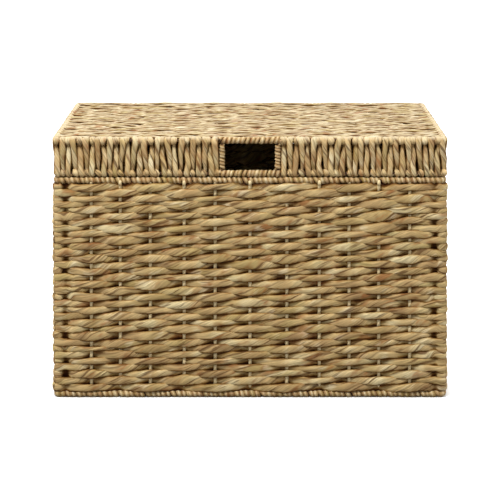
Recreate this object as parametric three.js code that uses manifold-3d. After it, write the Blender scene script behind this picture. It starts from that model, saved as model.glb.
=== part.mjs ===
// Woven lidded box: a trunk of twisted plant strands woven round rattan stakes on a welded rod
// frame, with a hinged lid that has a hand opening in its front.
// Millimetres, +Z up, front towards -Y, origin on the ground under the middle of the box.

import * as THREE from 'three';
import { mergeVertices } from 'three/addons/utils/BufferGeometryUtils.js';
import Module from 'manifold-3d';

const wasm = await Module();
wasm.setup();

// Driving dimensions of the whole box
const width = 600; // over the woven walls at the rim
const depth = 400;
const bodyHeight = 344; // ground to the top of the rim
const lidHeight = 62; // top of the rim to the top of the lid
const baseFlare = 6; // how far each wall leans out at the ground
const clearance = 0.3; // between pieces that touch or pass through each other
const overrun = 30; // how far a cutting solid reaches past what it cuts

// Weave
const wallThickness = 14;
const rowPitch = 9.7; // height of one woven row
const grooveDepth = 2.2; // how far the valley between two rows lies below their crests

// Welded frames
const frameRodDiameter = 5;
const lidRodDiameter = 4;
const rodBend = 7; // radius of a frame ring's corners
const rodSides = 8;

// Stakes
const stakeDiameter = 3.6;
const stakeBend = 12; // height and reach of the bend from wall to floor
const stakeSides = 6;
const crossStakeCount = 7;
// Places of the long stakes along the front, as shares of the way from the middle to the corner post
const stakePlaceShares = [-0.82, -0.67, -0.515, -0.34, -0.18, 0, 0.19, 0.358, 0.512, 0.665, 0.825];

// Strands wound round the frame rods
const rimWrapDiameter = 10.8;
const baseWrapDiameter = 12;
const bottomRodWrapDiameter = 10.6; // on the lid's bottom rod, under the hand opening
const topRodWrapDiameter = 10.8; // on the lid's top rod, over the hand opening
const sideRodWrapDiameter = 9; // on the two rods beside the hand opening

// Floor, lid top and lid sides
const floorThickness = 13;
const floorLift = 2; // ground to the underside of the floor
const lidWeaveThickness = 12;
const apronThickness = 10; // the lid's sides, of upright strands
const flutePitch = 8.9; // one upright strand
const fluteDepth = 1.9;
const handWidth = 75; // clear width of the hand opening

// Hinge loops
const hingePlace = 172; // middle of the box to the middle of a loop
const loopWidth = 14;
const loopDiameter = 9.8;

// Derived places
const half = (size) => size / 2;
const flatOf = (radius) => radius * Math.cos(Math.PI / rodSides); // middle to flat of a wound rod
const halfWall = half(wallThickness);
const railX = half(width) - halfWall; // the line that walls, rods and stakes share
const railY = half(depth) - halfWall;
const rimRodZ = bodyHeight - flatOf(half(rimWrapDiameter));
const baseRodZ = flatOf(half(baseWrapDiameter));
const wallBottom = baseRodZ + half(baseWrapDiameter) + clearance;
const wallTop = rimRodZ - half(rimWrapDiameter) - clearance;
const lidTop = bodyHeight + lidHeight;
const lidBottom = rimRodZ + half(rimWrapDiameter) + clearance;
const lidRodZ = lidBottom + flatOf(half(bottomRodWrapDiameter));
const lidWeaveZ = lidTop - half(lidWeaveThickness); // also the lid's top rod and its stakes
const floorZ = floorLift + half(floorThickness);
const stakeOffset = half(stakeDiameter) + clearance + half(clearance); // the floor's two layers
const longStakeZ = floorZ + stakeOffset;
const crossStakeZ = floorZ - stakeOffset;
const topInset = Math.max(half(apronThickness), half(topRodWrapDiameter)) + clearance;
const postInset = rodBend * (1 - Math.SQRT1_2); // a corner post stands on the middle of the bend
const sideRodX = half(handWidth) + half(sideRodWrapDiameter);
const apronEndX = sideRodX + half(sideRodWrapDiameter) + clearance; // front lid sides end here
const stakeX = stakePlaceShares.map((share) => share * railX);
const stakeY = Array.from({ length: crossStakeCount }, (_, k) =>
  railY * (2 * (k + 1) / (crossStakeCount + 1) - 1));

// Finishes
const finish = (color, roughness, metalness = 0) =>
  new THREE.MeshStandardMaterial({ color, roughness, metalness, flatShading: true });
const strandFinish = finish('#a88a5c', 0.8);
const lidStrandFinish = finish('#b39666', 0.8);
const wrapFinish = finish('#9c7c4f', 0.8);
const stakeFinish = finish('#d6c496', 0.6);
const rodFinish = finish('#4a4038', 0.5, 0.8);

// The four sides, each turned from the front, with half its length and its distance from the middle
const sides = [
  { name: 'front', angle: 0, halfLength: railX, reach: railY },
  { name: 'right', angle: Math.PI / 2, halfLength: railY, reach: railX },
  { name: 'back', angle: Math.PI, halfLength: railX, reach: railY },
  { name: 'left', angle: -Math.PI / 2, halfLength: railY, reach: railX },
];

// A closed geometry as a solid that can be cut and joined
function toSolid(geometry) {
  const bare = new THREE.BufferGeometry();
  bare.setAttribute('position', geometry.getAttribute('position').clone());
  if (geometry.index) bare.setIndex(geometry.index.clone());
  const merged = mergeVertices(bare);
  return new wasm.Manifold(new wasm.Mesh({
    numProp: 3,
    vertProperties: new Float32Array(merged.getAttribute('position').array),
    triVerts: new Uint32Array(merged.index.array),
  }));
}

const joined = (solids) => solids.reduce((whole, solid) => whole.add(solid));
const cutBy = (solid, cutters) => cutters.reduce((rest, cutter) => rest.subtract(cutter), solid);

function toGeometry(solid) {
  const mesh = solid.getMesh();
  const geometry = new THREE.BufferGeometry();
  geometry.setAttribute('position', new THREE.BufferAttribute(mesh.vertProperties, mesh.numProp));
  geometry.setIndex(new THREE.BufferAttribute(mesh.triVerts, 1));
  return geometry;
}

// The body widens evenly from its rim rod down to the ground
function flared(geometry) {
  const place = geometry.getAttribute('position');
  for (let k = 0; k < place.count; k += 1) {
    const lean = baseFlare * Math.max(0, 1 - place.getZ(k) / rimRodZ);
    place.setX(k, place.getX(k) * (1 + lean / railX));
    place.setY(k, place.getY(k) * (1 + lean / railY));
  }
  return geometry;
}

const body = new THREE.Group();
const lid = new THREE.Group();

function addToBody(name, solid, material) {
  const mesh = new THREE.Mesh(flared(toGeometry(solid)), material);
  mesh.name = name;
  body.add(mesh);
}

function addToLid(name, solid, material) {
  const mesh = new THREE.Mesh(toGeometry(solid), material);
  mesh.name = name;
  lid.add(mesh);
}

// A block between two corners
function block(x0, x1, y0, y1, z0, z1) {
  const geometry = new THREE.BoxGeometry(x1 - x0, y1 - y0, z1 - z0);
  geometry.translate((x0 + x1) / 2, (y0 + y1) / 2, (z0 + z1) / 2);
  return toSolid(geometry);
}

// A straight round bar along Y, as a prism whose corners lie on the circle
function roundBar(radius, length) {
  return new THREE.CylinderGeometry(radius, radius, length, rodSides, 1, false, Math.PI / rodSides);
}

function uprightBar(radius, x, y, z0, z1) {
  const geometry = roundBar(radius, z1 - z0).rotateX(Math.PI / 2);
  return toSolid(geometry.translate(x, y, (z0 + z1) / 2));
}

function levelBar(radius, x0, x1, y, z) {
  const geometry = roundBar(radius, x1 - x0).rotateZ(Math.PI / 2);
  return toSolid(geometry.translate((x0 + x1) / 2, y, z));
}

// A rectangle with round corners, centred on the box
function roundedOutline(halfX, halfY, radius) {
  const outline = new THREE.Shape();
  const centreX = halfX - radius;
  const centreY = halfY - radius;
  outline.absarc(centreX, centreY, radius, 0, Math.PI / 2);
  outline.absarc(-centreX, centreY, radius, Math.PI / 2, Math.PI);
  outline.absarc(-centreX, -centreY, radius, Math.PI, 3 * Math.PI / 2);
  outline.absarc(centreX, -centreY, radius, 3 * Math.PI / 2, 2 * Math.PI);
  outline.closePath();
  return outline;
}

// A bar bent to the box's outline: a flat ring whose bevels make its section eight-sided
function railRing(z, radius) {
  const flat = radius * Math.sin(Math.PI / rodSides);
  const bevel = flatOf(radius) - flat;
  const outline = roundedOutline(railX + flat, railY + flat, rodBend + flat);
  outline.holes.push(roundedOutline(railX - flat, railY - flat, rodBend - flat));
  const geometry = new THREE.ExtrudeGeometry(outline, {
    depth: 2 * flat,
    bevelThickness: bevel,
    bevelSize: bevel,
    bevelSegments: 1,
    curveSegments: 2,
  });
  geometry.translate(0, 0, z - flat);
  return toSolid(geometry);
}

// Upright prism of a plan outline, turned about the middle of the box
function uprightPrism(outline, z0, z1, angle = 0) {
  const geometry = new THREE.ExtrudeGeometry(outline, {
    depth: z1 - z0,
    bevelEnabled: false,
    curveSegments: 1,
  });
  return toSolid(geometry.translate(0, 0, z0).rotateZ(angle));
}

// The share of the box that belongs to one side, out to its two mitred corners
function mitreWedge(side) {
  const slack = half(clearance) * Math.SQRT2;
  const outer = side.halfLength + overrun - slack;
  const inner = side.halfLength - overrun - slack;
  const wedge = new THREE.Shape([
    new THREE.Vector2(-outer, -side.reach - overrun),
    new THREE.Vector2(outer, -side.reach - overrun),
    new THREE.Vector2(inner, -side.reach + overrun),
    new THREE.Vector2(-inner, -side.reach + overrun),
  ]);
  return uprightPrism(wedge, -overrun, lidTop + overrun, side.angle);
}

// A band round the whole box, of even thickness, with round outer corners
function railBand(halfThickness, z0, z1) {
  const outline = roundedOutline(railX + halfThickness, railY + halfThickness, halfThickness);
  const band = uprightPrism(outline, z0, z1);
  const innerX = railX - halfThickness;
  const innerY = railY - halfThickness;
  return band.subtract(block(-innerX, innerX, -innerY, innerY, z0 - overrun, z1 + overrun));
}

// A sheet of straight rows, each a low ridge on the outer face. The rows run along the length,
// and they are stacked along the span.
function rowSheet(length, span, thickness) {
  const rows = Math.round(span / rowPitch);
  const ridges = Array.from({ length: 2 * rows + 1 }, (_, k) => new THREE.Vector2(
    (k / (2 * rows)) * span - half(span),
    half(thickness) - (k % 2 ? 0 : grooveDepth),
  ));
  const outline = new THREE.Shape([
    new THREE.Vector2(-half(span), -half(thickness)),
    new THREE.Vector2(half(span), -half(thickness)),
    ...ridges.reverse(),
  ]);
  const geometry = new THREE.ExtrudeGeometry(outline, { depth: length, bevelEnabled: false });
  return geometry.translate(0, 0, -half(length));
}

const axisX = new THREE.Vector3(1, 0, 0);
const axisY = new THREE.Vector3(0, 1, 0);
const axisZ = new THREE.Vector3(0, 0, 1);

// Rows along X, lying flat
function flatSheet(length, span, thickness, z) {
  const geometry = rowSheet(length, span, thickness);
  geometry.applyMatrix4(new THREE.Matrix4().makeBasis(axisY, axisZ, axisX));
  return toSolid(geometry.translate(0, 0, z));
}

// Rows along one wall, standing up
function standingSheet(side, z0, z1) {
  const geometry = rowSheet(2 * (side.halfLength + overrun), z1 - z0, wallThickness);
  geometry.applyMatrix4(new THREE.Matrix4().makeBasis(axisZ, axisY.clone().negate(), axisX));
  geometry.translate(0, -side.reach, (z0 + z1) / 2);
  return toSolid(geometry.rotateZ(side.angle));
}

// A route of straight runs, with one step of the bar for each run
class BentRoute extends THREE.Curve {
  constructor(points) {
    super();
    this.points = points;
  }

  getPoint(t) {
    const runs = this.points.length - 1;
    const run = Math.min(Math.floor(t * runs), runs - 1);
    return this.points[run].clone().lerp(this.points[run + 1], t * runs - run);
  }

  getPointAt(t) {
    return this.getPoint(t);
  }

  getTangentAt(t) {
    const at = Math.round(t * (this.points.length - 1));
    const before = this.points[Math.max(at - 1, 0)];
    const here = this.points[at];
    const after = this.points[Math.min(at + 1, this.points.length - 1)];
    const tangent = new THREE.Vector3();
    if (before !== here) tangent.add(here.clone().sub(before).normalize());
    if (after !== here) tangent.add(after.clone().sub(here).normalize());
    return tangent.normalize();
  }
}

function bentBar(points, radius) {
  const section = new THREE.Shape(Array.from({ length: stakeSides }, (_, k) => new THREE.Vector2(
    radius * Math.cos(2 * Math.PI * k / stakeSides),
    radius * Math.sin(2 * Math.PI * k / stakeSides),
  )));
  const geometry = new THREE.ExtrudeGeometry(section, {
    steps: points.length - 1,
    extrudePath: new BentRoute(points),
    bevelEnabled: false,
  });
  return toSolid(geometry);
}

// A stake runs down one wall, through the floor and up the opposite wall
const stakeTop = rimRodZ - half(rimWrapDiameter) - clearance;

function bentStake(rail, floorLevel, place, extra) {
  return bentBar([
    place(-rail, stakeTop + extra),
    place(-rail, floorLevel + stakeBend),
    place(-rail + stakeBend, floorLevel),
    place(rail - stakeBend, floorLevel),
    place(rail, floorLevel + stakeBend),
    place(rail, stakeTop + extra),
  ], half(stakeDiameter) + extra);
}

const longStake = (x, extra) =>
  bentStake(railY, longStakeZ, (y, z) => new THREE.Vector3(x, y, z), extra);
const crossStake = (y, extra) =>
  bentStake(railX, crossStakeZ, (x, z) => new THREE.Vector3(x, y, z), extra);

// Corner posts between a lower and an upper ring
function cornerPosts(radius, z0, z1) {
  const x = railX - postInset;
  const y = railY - postInset;
  return [[x, y], [-x, y], [-x, -y], [x, -y]].map(([postX, postY]) =>
    uprightBar(radius, postX, postY, z0, z1));
}

function bodyFrame(extra) {
  const radius = half(frameRodDiameter) + extra;
  return joined([
    railRing(baseRodZ, radius),
    railRing(rimRodZ, radius),
    ...cornerPosts(radius, baseRodZ, rimRodZ),
  ]);
}

function lidFrame(extra) {
  const radius = half(lidRodDiameter) + extra;
  return joined([
    railRing(lidRodZ, radius),
    railRing(lidWeaveZ, radius),
    ...cornerPosts(radius, lidRodZ, lidWeaveZ),
    uprightBar(radius, -sideRodX, -railY, lidRodZ, lidWeaveZ),
    uprightBar(radius, sideRodX, -railY, lidRodZ, lidWeaveZ),
  ]);
}

// A lid stake ends just short of the windings along the lid's front and back
function lidStake(x, extra) {
  const end = railY - topInset + extra;
  return bentBar(
    [new THREE.Vector3(x, -end, lidWeaveZ), new THREE.Vector3(x, end, lidWeaveZ)],
    half(stakeDiameter) + extra,
  );
}

// A loop wound round the rim rod and the lid's bottom rod: it grips the lid and turns on the rim
function hingeLoop(x) {
  const radius = half(loopDiameter);
  const lift = lidRodZ - rimRodZ;
  const outline = new THREE.Shape();
  outline.absarc(0, 0, radius, Math.PI, 2 * Math.PI);
  outline.absarc(0, lift, radius, 0, Math.PI);
  outline.closePath();
  const rimHole = new THREE.Path().absarc(0, 0, half(frameRodDiameter) + clearance, 0, 2 * Math.PI);
  const lidHole = new THREE.Path().absarc(0, lift, half(lidRodDiameter) + clearance, 0, 2 * Math.PI);
  outline.holes.push(rimHole, lidHole);
  const geometry = new THREE.ExtrudeGeometry(outline, {
    depth: loopWidth,
    bevelEnabled: false,
    curveSegments: 6,
  });
  geometry.applyMatrix4(new THREE.Matrix4().makeBasis(axisY, axisZ, axisX));
  return toSolid(geometry.translate(x - half(loopWidth), railY, rimRodZ));
}

// The space that a loop needs in what lies beside and over it
function loopGap(x) {
  const reach = half(loopWidth) + clearance;
  const top = lidRodZ + half(loopDiameter) + clearance;
  return block(x - reach, x + reach, railY - overrun, railY + overrun, wallTop, top);
}

// One lid side: upright strands as a fluted sheet, cut to its mitred corners
function fluted(side) {
  const flutes = Math.round(2 * side.halfLength / flutePitch);
  const pitch = 2 * side.halfLength / flutes;
  const halfThickness = half(apronThickness);
  const crests = Array.from({ length: 2 * flutes + 5 }, (_, k) => new THREE.Vector2(
    (k - 2) * half(pitch) - side.halfLength,
    -side.reach - halfThickness + (k % 2 ? 0 : fluteDepth),
  ));
  const innerY = -side.reach + halfThickness;
  const outline = new THREE.Shape([
    ...crests,
    new THREE.Vector2(crests.at(-1).x, innerY),
    new THREE.Vector2(crests[0].x, innerY),
  ]);
  return uprightPrism(outline, lidBottom, lidTop, side.angle);
}

// Body
const frameSpace = bodyFrame(clearance);
const longSpaces = stakeX.map((x) => longStake(x, clearance));
const crossSpaces = stakeY.map((y) => crossStake(y, clearance));
const stakeSpaces = [...longSpaces, ...crossSpaces];
const loopGaps = [-hingePlace, hingePlace].map(loopGap);

addToBody('body_frame', bodyFrame(0), rodFinish);
stakeX.forEach((x, k) => addToBody(`long_stake_${k + 1}`, longStake(x, 0), stakeFinish));
stakeY.forEach((y, k) => addToBody(`cross_stake_${k + 1}`, crossStake(y, 0), stakeFinish));

const wallBand = railBand(halfWall, wallBottom, wallTop);
const rimWinding = railRing(rimRodZ, half(rimWrapDiameter));
const baseWinding = railRing(baseRodZ, half(baseWrapDiameter));

for (const side of sides) {
  const wedge = mitreWedge(side);
  const ownStakes = side.reach === railY ? longSpaces : crossSpaces;
  const rows = wallBand.intersect(wedge).intersect(standingSheet(side, wallBottom, wallTop));
  addToBody(`wall_weave_${side.name}`, cutBy(rows, [frameSpace, ...ownStakes]), strandFinish);
  addToBody(`base_wrap_${side.name}`, baseWinding.intersect(wedge).subtract(frameSpace), wrapFinish);
  const rimPart = rimWinding.intersect(wedge).subtract(frameSpace);
  if (side.name === 'back') {
    const spans = [
      ['left', -railX - overrun, -hingePlace],
      ['middle', -hingePlace, hingePlace],
      ['right', hingePlace, railX + overrun],
    ];
    for (const [place, x0, x1] of spans) {
      const span = block(x0, x1, railY - overrun, railY + overrun, wallTop, lidTop);
      const part = cutBy(rimPart.intersect(span), loopGaps);
      addToBody(`rim_wrap_back_${place}`, part, wrapFinish);
    }
  } else {
    addToBody(`rim_wrap_${side.name}`, rimPart, wrapFinish);
  }
}

const floorHalfX = railX - halfWall - clearance;
const floorHalfY = railY - halfWall - clearance;
const floorTop = floorLift + floorThickness;
const floorSheet = block(-floorHalfX, floorHalfX, -floorHalfY, floorHalfY, floorLift, floorTop);
addToBody('floor_weave', cutBy(floorSheet, stakeSpaces), strandFinish);

// Lid
const lidFrameSpace = lidFrame(clearance);
const lidStakeSpaces = stakeX.map((x) => lidStake(x, clearance));

addToLid('lid_frame', lidFrame(0), rodFinish);
stakeX.forEach((x, k) => addToLid(`lid_stake_${k + 1}`, lidStake(x, 0), stakeFinish));

const topSheet = flatSheet(2 * (railX - topInset), 2 * (railY - topInset), lidWeaveThickness, lidWeaveZ);
addToLid('lid_top_weave', cutBy(topSheet, lidStakeSpaces), lidStrandFinish);

const apronBand = railBand(half(apronThickness), lidBottom, lidTop);
for (const side of sides) {
  const sheet = fluted(side).intersect(apronBand).intersect(mitreWedge(side));
  const apron = cutBy(sheet, [lidFrameSpace, ...loopGaps]);
  if (side.name === 'front') {
    const y0 = -railY - overrun;
    const y1 = -railY + overrun;
    const leftSpan = block(-railX - overrun, -apronEndX, y0, y1, lidBottom, lidTop);
    const rightSpan = block(apronEndX, railX + overrun, y0, y1, lidBottom, lidTop);
    addToLid('lid_side_front_left', apron.intersect(leftSpan), lidStrandFinish);
    addToLid('lid_side_front_right', apron.intersect(rightSpan), lidStrandFinish);
  } else {
    addToLid(`lid_side_${side.name}`, apron, lidStrandFinish);
  }
}

// Windings round the hand opening
const windingX = apronEndX - clearance;
const bottomRodWrap = levelBar(half(bottomRodWrapDiameter), -windingX, windingX, -railY, lidRodZ);
const topRodWrap = levelBar(half(topRodWrapDiameter), -windingX, windingX, -railY, lidWeaveZ);
addToLid('hand_wrap_bottom', bottomRodWrap.subtract(lidFrameSpace), wrapFinish);
addToLid('hand_wrap_top', topRodWrap.subtract(lidFrameSpace), wrapFinish);
const sideWrapBottom = lidRodZ + half(bottomRodWrapDiameter) + clearance;
const sideWrapTop = lidWeaveZ - half(topRodWrapDiameter) - clearance;
for (const [place, x] of [['left', -sideRodX], ['right', sideRodX]]) {
  const winding = uprightBar(half(sideRodWrapDiameter), x, -railY, sideWrapBottom, sideWrapTop);
  addToLid(`hand_wrap_${place}`, winding.subtract(lidFrameSpace), wrapFinish);
}

addToLid('hinge_loop_left', hingeLoop(-hingePlace), wrapFinish);
addToLid('hinge_loop_right', hingeLoop(hingePlace), wrapFinish);

const box = new THREE.Group();
box.add(body, lid);

export default box;
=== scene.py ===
# Woven lidded box: its strands, stakes, windings and finishes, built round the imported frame.
# Metres, +Z up, front towards -Y.
import math
import bpy
import numpy as np
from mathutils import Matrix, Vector


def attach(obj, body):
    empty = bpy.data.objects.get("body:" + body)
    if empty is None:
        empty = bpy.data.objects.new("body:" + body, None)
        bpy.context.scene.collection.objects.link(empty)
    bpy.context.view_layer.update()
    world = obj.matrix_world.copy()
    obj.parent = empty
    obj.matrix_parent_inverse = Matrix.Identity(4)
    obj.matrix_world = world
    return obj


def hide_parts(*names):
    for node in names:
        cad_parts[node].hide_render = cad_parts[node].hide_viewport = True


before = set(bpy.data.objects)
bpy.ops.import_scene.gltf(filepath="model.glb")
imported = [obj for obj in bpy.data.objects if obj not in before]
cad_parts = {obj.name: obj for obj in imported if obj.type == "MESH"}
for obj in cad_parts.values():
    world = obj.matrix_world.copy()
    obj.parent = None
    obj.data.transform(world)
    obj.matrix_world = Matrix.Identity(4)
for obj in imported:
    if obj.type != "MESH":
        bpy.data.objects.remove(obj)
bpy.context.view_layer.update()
for spare in [bpy.data.objects.get(name) for name in ("Cube", "Light", "Camera")]:
    if spare is not None:
        bpy.data.objects.remove(spare)
print("frame loaded,", len(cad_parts), "nodes")

# The box's own lines, as the CAD source has them
box = {
    "railX": 0.293,  # centre line of the walls, rods and stakes
    "railY": 0.193,
    "bend": 0.007,  # radius of that line's corners
    "flare": 0.006,  # how far each wall leans out at the ground
    "baseRodZ": 0.005543,
    "wallBottom": 0.011843,
    "wallTop": 0.333311,
    "rimRodZ": 0.339011,
    "lidRodZ": 0.349608,
    "lidWeaveZ": 0.4,
    "sideRodX": 0.042,  # the rods beside the hand opening
    "apronEndX": 0.0468,  # where the upright strands of the lid's front end beside it
    "stakeShares": [-0.82, -0.67, -0.515, -0.34, -0.18, 0, 0.19, 0.358, 0.512, 0.665, 0.825],
    "crossStakes": 7,
    "slimRod": 0.006,  # how far beyond a corner's arc the strands cross a slim rod
    "rowsMeet": 0.020,  # and how far beyond it all rows lie alike
}
railX, railY = box["railX"], box["railY"]
postX = railX - box["bend"] * (1 - math.sqrt(0.5))
stakeX = np.array(box["stakeShares"]) * railX
stakeY = railY * (2 * np.arange(1, box["crossStakes"] + 1) / (box["crossStakes"] + 1) - 1)


# Finishes

def tone(red, green, blue):
    # a colour given in 0 to 255 display values, as linear light: ((c + 0.055) / 1.055) ^ 2.4
    return tuple(((value / 255 + 0.055) / 1.055) ** 2.4 for value in (red, green, blue)) + (1,)


class Nodes:
    # the node tree of a material or a world, with short calls that add a node and link it
    def __init__(self, owner):
        self.owner = owner
        owner.use_nodes = True
        self.tree = owner.node_tree
        self.tree.nodes.clear()

    def add(self, kind, settings=None, **links):
        # each link or value goes to the input of its name, or i2 to the third input
        node = self.tree.nodes.new(kind)
        for key, value in (settings or {}).items():
            setattr(node, key, value)
        for key, value in links.items():
            socket = node.inputs[int(key[1:])] if key[1:].isdigit() else node.inputs[key]
            if isinstance(value, bpy.types.NodeSocket):
                self.tree.links.new(value, socket)
            else:
                socket.default_value = value
        return node

    def math(self, operation, a, b=0.0):
        return self.add("ShaderNodeMath", {"operation": operation}, i0=a, i1=b).outputs[0]

    def vector(self, x, y, z=0.0):
        return self.add("ShaderNodeCombineXYZ", None, i0=x, i1=y, i2=z).outputs[0]

    def noise(self, vector, scale=1.0, detail=2.0, roughness=0.5):
        return self.add("ShaderNodeTexNoise", None, Vector=vector, Scale=scale, Detail=detail,
                        Roughness=roughness).outputs["Fac"]

    def fit(self, value, low, high, toLow=0.0, toHigh=1.0):
        node = self.add("ShaderNodeMapRange", None, i0=value, i1=low, i2=high, i3=toLow, i4=toHigh)
        return node.outputs[0]

    def mix(self, share, first, second, blend="MIX"):
        settings = {"data_type": "RGBA", "blend_type": blend}
        return self.add("ShaderNodeMix", settings, i0=share, i6=first, i7=second).outputs[2]

    def ramp(self, value, places, colours):
        node = self.add("ShaderNodeValToRGB", None, Fac=value)
        band = node.color_ramp
        while len(band.elements) < len(places):
            band.elements.new(0.5)
        for element, place, colour in zip(band.elements, places, colours):
            element.position = place
            element.color = colour
        return node.outputs["Color"]

    def onStrand(self):
        # metres along a strand, and the share of a turn round it
        place = self.add("ShaderNodeUVMap", {"uv_map": "strandMap"}).outputs[0]
        parts = self.add("ShaderNodeSeparateXYZ", None, i0=place)
        return parts.outputs[0], parts.outputs[1]

    def surface(self, colour, roughness, height, settings):
        strength, depth = settings["bump"]
        bump = self.add("ShaderNodeBump", None, Strength=strength, Distance=depth, Height=height)
        links = {"Base Color": colour, "Roughness": roughness, "Normal": bump.outputs[0]}
        links["Specular IOR Level"] = settings["specular"]
        shader = self.add("ShaderNodeBsdfPrincipled", None, **links)
        self.add("ShaderNodeOutputMaterial", None, Surface=shader.outputs[0])
        return self.owner


stem = {
    "toneLength": 0.07,  # metres over which a stem changes tone
    "toneRange": (0.32, 0.68),  # what of the noise the four bands are spread over
    "bandPlaces": (0.0, 0.3, 0.6, 1.0),
    "bands": [tone(168, 136, 93), tone(192, 160, 110), tone(212, 183, 129), tone(231, 212, 164)],
    "patchLength": 0.03,
    "patchCount": 2.5,  # patches round a strand
    "patchFray": 0.4,  # how far the fibres fray the patches' edges
    "rust": tone(146, 84, 36),
    "rustShare": 0.65,
    "rustRange": (0.78, 0.9),  # the noise from where a patch begins to where it is full
    "pale": tone(240, 226, 188),
    "paleShare": 0.5,
    "paleRange": (0.8, 0.93),
    "olive": tone(178, 158, 94),
    "oliveShare": 0.5,
    "oliveRange": (0.5, 0.66),
    "oliveLength": 0.09,
    "fibreLength": 0.03,
    "fibreCount": 16,  # fibres round a strand
    "fibreRange": (0.3, 0.7),
    "streak": (0.58, 1.22),  # what the darkest and the palest fibres do to the colour
    "split": tone(88, 54, 26),
    "splitShare": 0.75,
    "splitRange": (0.58, 0.65),
    "splitLength": 0.048,
    "splitCount": 8,
    "plies": 2,
    "creaseAt": 0.0,  # where round a ply its edge lies: 0 and 1 are the outward face of a lone strand
    "creaseWide": 0.09,
    "creaseDark": 0.5,
    "paintedHighlight": tone(206, 190, 158),  # painted highlight tone, used where the painted shading value is -1
    "paintedShading": (0.16, 0.078, 0.022),  # painted shade: what is left of red, green and blue where the painted shading value is 1
    "hollowDark": 1.0,
    "hollowMost": 1.3,
    "roughness": (0.88, 0.66),
    "specular": 0.12,
    "bump": (0.6, 0.0012),  # its strength, and the depth of the fibres
}


def stemFinish(name, stem):
    # tone = noise along each ply, with rusty, pale and olive places where slower noises pass a limit;
    # fibres and splits = noise drawn out along the strand; darker at the plies' edges; painted shade in the
    # crevices by left ^ painted shading for each of red, green and blue, which deepens the colour as it
    # darkens, and a painted highlight tone where the painted shading is below 0. Each noise's place ends with
    # its own layer
    n = Nodes(bpy.data.materials.new(name))
    along, around = n.onStrand()
    inPlies = n.math("ADD", n.math("MULTIPLY", around, stem["plies"]), stem["creaseAt"])
    ply = n.math("FLOOR", inPlies)

    def slow(length, step, layer):
        return n.vector(n.math("DIVIDE", along, length), n.math("MULTIPLY", ply, step), layer)

    def drawnOut(length, count, layer):
        return n.vector(n.math("DIVIDE", along, length), n.math("MULTIPLY", around, count),
                        n.math("ADD", ply, layer))

    def mixedIn(colour, noise, which):
        share = n.fit(noise, *stem[which + "Range"], 0.0, stem[which + "Share"])
        return n.mix(share, colour, stem[which])

    band = n.noise(slow(stem["toneLength"], 7.31, 0.0), roughness=0.6)
    colour = n.ramp(n.fit(band, *stem["toneRange"]), stem["bandPlaces"], stem["bands"])
    colour = mixedIn(colour, n.noise(slow(stem["oliveLength"], 5.9, 9.1)), "olive")
    fibre = n.noise(drawnOut(stem["fibreLength"], stem["fibreCount"], 0.0), detail=4.0, roughness=0.65)
    for which, layer in (("rust", 14.2), ("pale", 27.9)):
        patch = n.noise(drawnOut(stem["patchLength"], stem["patchCount"], layer))
        colour = mixedIn(colour, n.math("ADD", patch, n.math("MULTIPLY", fibre, stem["patchFray"])), which)
    streak = n.fit(fibre, *stem["fibreRange"], *stem["streak"])
    colour = n.mix(1.0, colour, n.vector(streak, streak, streak), "MULTIPLY")
    splitAt = drawnOut(stem["splitLength"], stem["splitCount"], 3.3)
    colour = mixedIn(colour, n.noise(splitAt, detail=3.0), "split")
    toEdge = n.math("PINGPONG", inPlies, 0.5)
    colour = n.mix(n.fit(toEdge, 0.0, stem["creaseWide"], stem["creaseDark"], 0.0), colour, stem["split"])
    # painted shade in the crevices and a painted highlight on the lid sides' loop tops, read from the mesh
    paintedShading = n.add("ShaderNodeAttribute", {"attribute_name": "paintedShading"}).outputs["Fac"]
    colour = n.mix(n.fit(paintedShading, -1.0, 0.0, 1.0, 0.0), colour, stem["paintedHighlight"])
    deep = n.fit(paintedShading, 0.0, stem["hollowMost"], 0.0, stem["hollowMost"] * stem["hollowDark"])
    shade = n.vector(*[n.math("POWER", left, deep) for left in stem["paintedShading"]])
    colour = n.mix(1.0, colour, shade, "MULTIPLY")
    return n.surface(colour, n.fit(fibre, *stem["fibreRange"], *stem["roughness"]), fibre, stem)


cane = {
    "dark": tone(210, 185, 134),
    "light": tone(238, 219, 172),
    "grainLength": 0.03,
    "grainCount": 14,  # pores round a stake
    "grainRange": (0.3, 0.7),
    "roughness": (0.6, 0.45),
    "specular": 0.5,
    "bump": (0.3, 0.0002),
}


def caneFinish(name, cane):
    # pale peeled cane: noise drawn out along the stake, a little darker along some of its pores
    n = Nodes(bpy.data.materials.new(name))
    along, around = n.onStrand()
    grainAt = n.vector(n.math("DIVIDE", along, cane["grainLength"]),
                       n.math("MULTIPLY", around, cane["grainCount"]))
    grain = n.noise(grainAt, detail=3.0, roughness=0.6)
    colour = n.ramp(n.fit(grain, *cane["grainRange"]), (0.0, 1.0), (cane["dark"], cane["light"]))
    return n.surface(colour, n.fit(grain, *cane["grainRange"], *cane["roughness"]), grain, cane)


steel = {
    "paint": tone(72, 46, 26),
    "worn": tone(104, 74, 46),
    "wearScale": 90.0,
    "wearRange": (0.5, 0.75),
    "roughRange": (0.3, 0.7),
    "roughness": (0.6, 0.8),
    "specular": 0.3,
    "grainScale": 900.0,
    "bump": (0.2, 0.0001),
}


def steelFinish(name, steel):
    # brown lacquer on steel, worn a little lighter in patches a few millimetres long
    n = Nodes(bpy.data.materials.new(name))
    place = n.add("ShaderNodeTexCoord").outputs["Object"]
    wear = n.noise(place, steel["wearScale"], detail=4.0, roughness=0.6)
    colour = n.mix(n.fit(wear, *steel["wearRange"]), steel["paint"], steel["worn"])
    grain = n.noise(place, steel["grainScale"])
    return n.surface(colour, n.fit(wear, *steel["roughRange"], *steel["roughness"]), grain, steel)


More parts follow.
